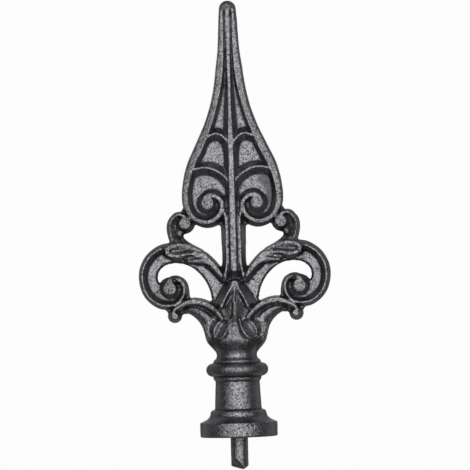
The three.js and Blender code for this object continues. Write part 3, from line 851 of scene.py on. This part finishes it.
# %% [markdown]
# ## Thinning the skin
# Flat fields don't need as many faces as crests and grooves. A coarser remesh would lose the creases,
# so the skin is thinned by a Decimate modifier, which takes faces away where the shape is flat.

# %% Thin the skin
MOST_TRIANGLES = 190000


def count_triangles():
    """How many triangles the piece's faces make."""
    return sum(len(face.vertices) - 2 for face in finial.data.polygons)


at_first = count_triangles()
thin = finial.modifiers.new("thin", "DECIMATE")
thin.ratio = min(1, MOST_TRIANGLES / at_first)
apply_modifiers()
for face in finial.data.polygons:
    face.use_smooth = True
print("thinned from", at_first, "to", count_triangles(), "triangles")

# %% [markdown]
# ## Grey cast iron, as it comes from the sand
# The skin of a sand casting takes the print of the sand: a grit of bumps and pits, each under a
# millimetre across, that glint and darken as they turn to and from the light, and between them the
# small facets of the iron's own grain. Crests are brushed smoother, and hollows are darkened with
# painted shade, along with some foundry black and a trace of rust. A picture of iron could be
# wrapped round it, but noise has no seams and needs no unwrapping.

# %% Helpers for materials
def linear(hex_colour):
    """An sRGB hex value as linear red, green, blue and alpha."""
    parts = [int(hex_colour[i:i + 2], 16) / 255 for i in (1, 3, 5)]
    return [p / 12.92 if p <= 0.04045 else ((p + 0.055) / 1.055) ** 2.4 for p in parts] + [1]


def node(tree, kind, settings=None, **inputs):
    """Adds a node, with its settings, and with each input set or linked."""
    made = tree.nodes.new(kind)
    for name, value in (settings or {}).items():
        setattr(made, name, value)
    for name, value in inputs.items():
        socket = made.inputs[int(name[1:]) if name[1:].isdigit() else name.replace("_", " ")]
        if isinstance(value, bpy.types.NodeSocket):
            tree.links.new(value, socket)
        else:
            socket.default_value = value
    return made


# %% The print of the sand
# Sand grit is about 0.3 mm; it is drawn coarser here, so that it shows at the size of the picture.
GRIT_MM, FINE_MM, GRAIN_MM, RUST_MM = 1.2, 0.55, 0.6, 9
iron = bpy.data.materials.new("sand_cast_grey_iron")
iron.use_nodes = True
tree = iron.node_tree
tree.nodes.clear()
place = node(tree, "ShaderNodeTexCoord").outputs["Object"]
hollow = node(tree, "ShaderNodeAttribute", {"attribute_name": "hollow"}).outputs["Fac"]
draft = node(tree, "ShaderNodeAttribute", {"attribute_name": "draft"}).outputs["Fac"]
dull_patch = node(tree, "ShaderNodeAttribute", {"attribute_name": "dull_patch"}).outputs["Fac"]
grit = node(
    tree, "ShaderNodeTexNoise", Vector=place, Scale=1 / (GRIT_MM * MM), Detail=2, Roughness=0.6
).outputs["Fac"]
fine = node(
    tree, "ShaderNodeTexNoise", Vector=place, Scale=1 / (FINE_MM * MM), Detail=1, Roughness=0.5
).outputs["Fac"]
facet = node(tree, "ShaderNodeTexVoronoi", Vector=place, Scale=1 / (GRAIN_MM * MM)).outputs["Color"]
sand = node(tree, "ShaderNodeMix", _0=0.6, _2=grit, _3=fine).outputs[0]
print_of_sand = node(tree, "ShaderNodeMix", _0=0.22, _2=sand, _3=facet).outputs[0]
speck = node(tree, "ShaderNodeMapRange", Value=print_of_sand, From_Min=0.37, From_Max=0.57).outputs[0]
# Slick walls, and half as much the dull patch, lose the speckle for an even grey.
wall = node(tree, "ShaderNodeMapRange", Value=draft, From_Min=0.1, From_Max=0.4, To_Max=0.6).outputs[0]
patch_slick = node(tree, "ShaderNodeMath", {"operation": "MULTIPLY"}, _0=dull_patch, _1=0.5).outputs[0]
slick = node(tree, "ShaderNodeMath", {"operation": "MAXIMUM"}, _0=wall, _1=patch_slick).outputs[0]
grain = node(tree, "ShaderNodeMix", _0=slick, _2=speck, _3=0.6).outputs[0]
print("sand: grit every", GRIT_MM, "mm and finer every", FINE_MM, "mm")

# %% The iron's colours
COLOURS = {"data_type": "RGBA"}
bright = node(
    tree, "ShaderNodeMix", COLOURS, _0=grain, _6=linear("#3c3d40"), _7=linear("#c6c7ca")
).outputs[2]
# The dull patch takes a darker grey.
bare = node(tree, "ShaderNodeMix", COLOURS, _0=dull_patch, _6=bright, _7=linear("#525358")).outputs[2]
patch = node(
    tree, "ShaderNodeTexNoise", Vector=place, Scale=1 / (RUST_MM * MM), Detail=3, Roughness=0.6
).outputs["Fac"]
rusty = node(tree, "ShaderNodeMapRange", Value=patch, From_Min=0.5, From_Max=0.75).outputs[0]
# Near-black iron for the painted shade in the hollows, with a trace of rust in patches.
black = node(
    tree, "ShaderNodeMix", COLOURS, _0=rusty, _6=linear("#3a3b3d"), _7=linear("#453c36")
).outputs[2]
# Painted shade, with some foundry black: the hollows and the shaded places turn towards the near-black.
sunk = node(tree, "ShaderNodeMapRange", Value=hollow, From_Min=0.54, From_Max=0.8, To_Max=0.8).outputs[0]
colour = node(tree, "ShaderNodeMix", COLOURS, _0=sunk, _6=bare, _7=black).outputs[2]
print("rust in patches of", RUST_MM, "mm")

# %% The iron's surface
# Bare iron is a metal, brushed fairly smooth on its crests and rougher in its hollows. On a metal the
# specular tint is its brightness at a glancing angle, which is low on an iron full of graphite.
BUMP_MM = 0.4
rough = node(
    tree, "ShaderNodeMapRange", Value=hollow, From_Min=0.35, From_Max=0.8, To_Min=0.28, To_Max=0.4
).outputs[0]
relief = node(tree, "ShaderNodeMapRange", Value=slick, To_Min=1, To_Max=0.2).outputs[0]
bump = node(tree, "ShaderNodeBump", Height=sand, Strength=relief, Distance=BUMP_MM * MM).outputs["Normal"]
surface = node(
    tree, "ShaderNodeBsdfPrincipled", Base_Color=colour, Metallic=1.0, Roughness=rough, Normal=bump,
    Specular_Tint=linear("#949494"),
)
node(tree, "ShaderNodeOutputMaterial", Surface=surface.outputs["BSDF"])
finial.data.materials.clear()
finial.data.materials.append(iron)
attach(finial, "root")
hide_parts("spear_finial")
print("iron:", len(tree.nodes), "nodes")

# %% [markdown]
# ## Studio
# The setting is that of a plain product picture on white: the finial stands over a sheet of white
# paper. One large soft light stands behind the camera, so what faces the camera is bright and what
# slopes away is dark. The room is dark at the sides for the same reason, and only the paper behind
# shines back a little. A white world all round would be simpler, but it would wash the slopes out, so
# the world has two parts: white for the camera to see, and a dim one that lights the iron.

# %% Floor
PAPER_WHITE = (0.98, 0.98, 0.98, 1)
FLOOR_GAP = 0.2
FLOOR_RADIUS = 6000
scene = bpy.context.scene
scene.view_settings.view_transform = "Standard"
white = bpy.data.materials.new("white_paper")
white.use_nodes = True
white.node_tree.nodes.clear()
paper = node(white.node_tree, "ShaderNodeEmission", Color=PAPER_WHITE, Strength=1)
node(white.node_tree, "ShaderNodeOutputMaterial", Surface=paper.outputs["Emission"])
sheet = bmesh.new()
under_spigot = Matrix.Translation((0, 0, (-SPIGOT_LENGTH - FLOOR_GAP) * MM))
bmesh.ops.create_circle(sheet, cap_ends=True, segments=64, radius=FLOOR_RADIUS * MM, matrix=under_spigot)
floor_mesh = bpy.data.meshes.new("floor")
sheet.to_mesh(floor_mesh)
floor_mesh.materials.append(white)
floor = bpy.data.objects.new("floor", floor_mesh)
scene.collection.objects.link(floor)
floor.visible_glossy = False
floor.visible_diffuse = False
print("floor at", round(-SPIGOT_LENGTH - FLOOR_GAP, 1), "mm")

# %% World
ROOM, SHINE_BACK = 0.08, 0.3
world = bpy.data.worlds.new("studio")
scene.world = world
world.use_nodes = True
room = world.node_tree
room.nodes.clear()
seen = node(room, "ShaderNodeBackground", Color=PAPER_WHITE, Strength=1)
way = node(room, "ShaderNodeTexCoord").outputs["Generated"]
backward = node(room, "ShaderNodeSeparateXYZ", Vector=way).outputs["Y"]
glow = node(
    room, "ShaderNodeMapRange", {"interpolation_type": "SMOOTHSTEP"}, Value=backward,
    From_Min=0.0, From_Max=0.6, To_Min=ROOM, To_Max=SHINE_BACK,
).outputs[0]
felt = node(room, "ShaderNodeBackground", Color=(0.98, 0.98, 1, 1), Strength=glow)
ray = node(room, "ShaderNodeLightPath")
either = node(
    room, "ShaderNodeMixShader", _0=ray.outputs["Is Camera Ray"], _1=felt.outputs[0], _2=seen.outputs[0]
)
node(room, "ShaderNodeOutputWorld", Surface=either.outputs[0])
print("world:", len(room.nodes), "nodes")

# %% Lights
MIDDLE_HEIGHT = 104


def softbox(name, azimuth, elevation, distance, size, watts):
    """A round soft light that looks at the middle of the finial, with its sizes in metres."""
    lamp = bpy.data.lights.new(name, "AREA")
    lamp.shape = "DISK"
    lamp.size = size
    lamp.energy = watts
    box = bpy.data.objects.new(name, lamp)
    scene.collection.objects.link(box)
    a, e = math.radians(azimuth), math.radians(elevation)
    away = Vector((math.sin(a) * math.cos(e), -math.cos(a) * math.cos(e), math.sin(e)))
    box.location = Vector((0, 0, MIDDLE_HEIGHT * MM)) + away * distance
    box.rotation_euler = away.to_track_quat("Z", "Y").to_euler()
    box.visible_camera = False


softbox("key", azimuth=4, elevation=9, distance=1.0, size=1.75, watts=7)
softbox("back", azimuth=183, elevation=4, distance=1.8, size=1.4, watts=4.8)

# %% [markdown]
# ## Camera
# The picture was taken straight on from far away with a long lens, a little from the right, and the
# finial leans slightly in the frame. An orthographic camera would come close, but a long lens keeps
# the slight widening of what is nearer.

# %% Camera at the photograph's angle
FRAME_WIDTH, SENSOR_WIDTH = 242.5, 36
AIM = Vector((0.75, 0, MIDDLE_HEIGHT)) * MM
AZIMUTH, ROLL, DISTANCE = 3, 1.6, 3.0
camera_data = bpy.data.cameras.new("camera")
camera = bpy.data.objects.new("camera", camera_data)
scene.collection.objects.link(camera)
scene.camera = camera
camera_data.sensor_width = SENSOR_WIDTH
camera_data.lens = SENSOR_WIDTH * DISTANCE / (FRAME_WIDTH * MM)
towards = Vector((math.sin(math.radians(AZIMUTH)), -math.cos(math.radians(AZIMUTH)), 0))
camera.location = AIM + towards * DISTANCE
camera.rotation_mode = "QUATERNION"
camera.rotation_quaternion = (
    towards.to_track_quat("Z", "Y") @ Matrix.Rotation(math.radians(-ROLL), 4, "Z").to_quaternion()
)
print("lens:", round(camera_data.lens), "mm")
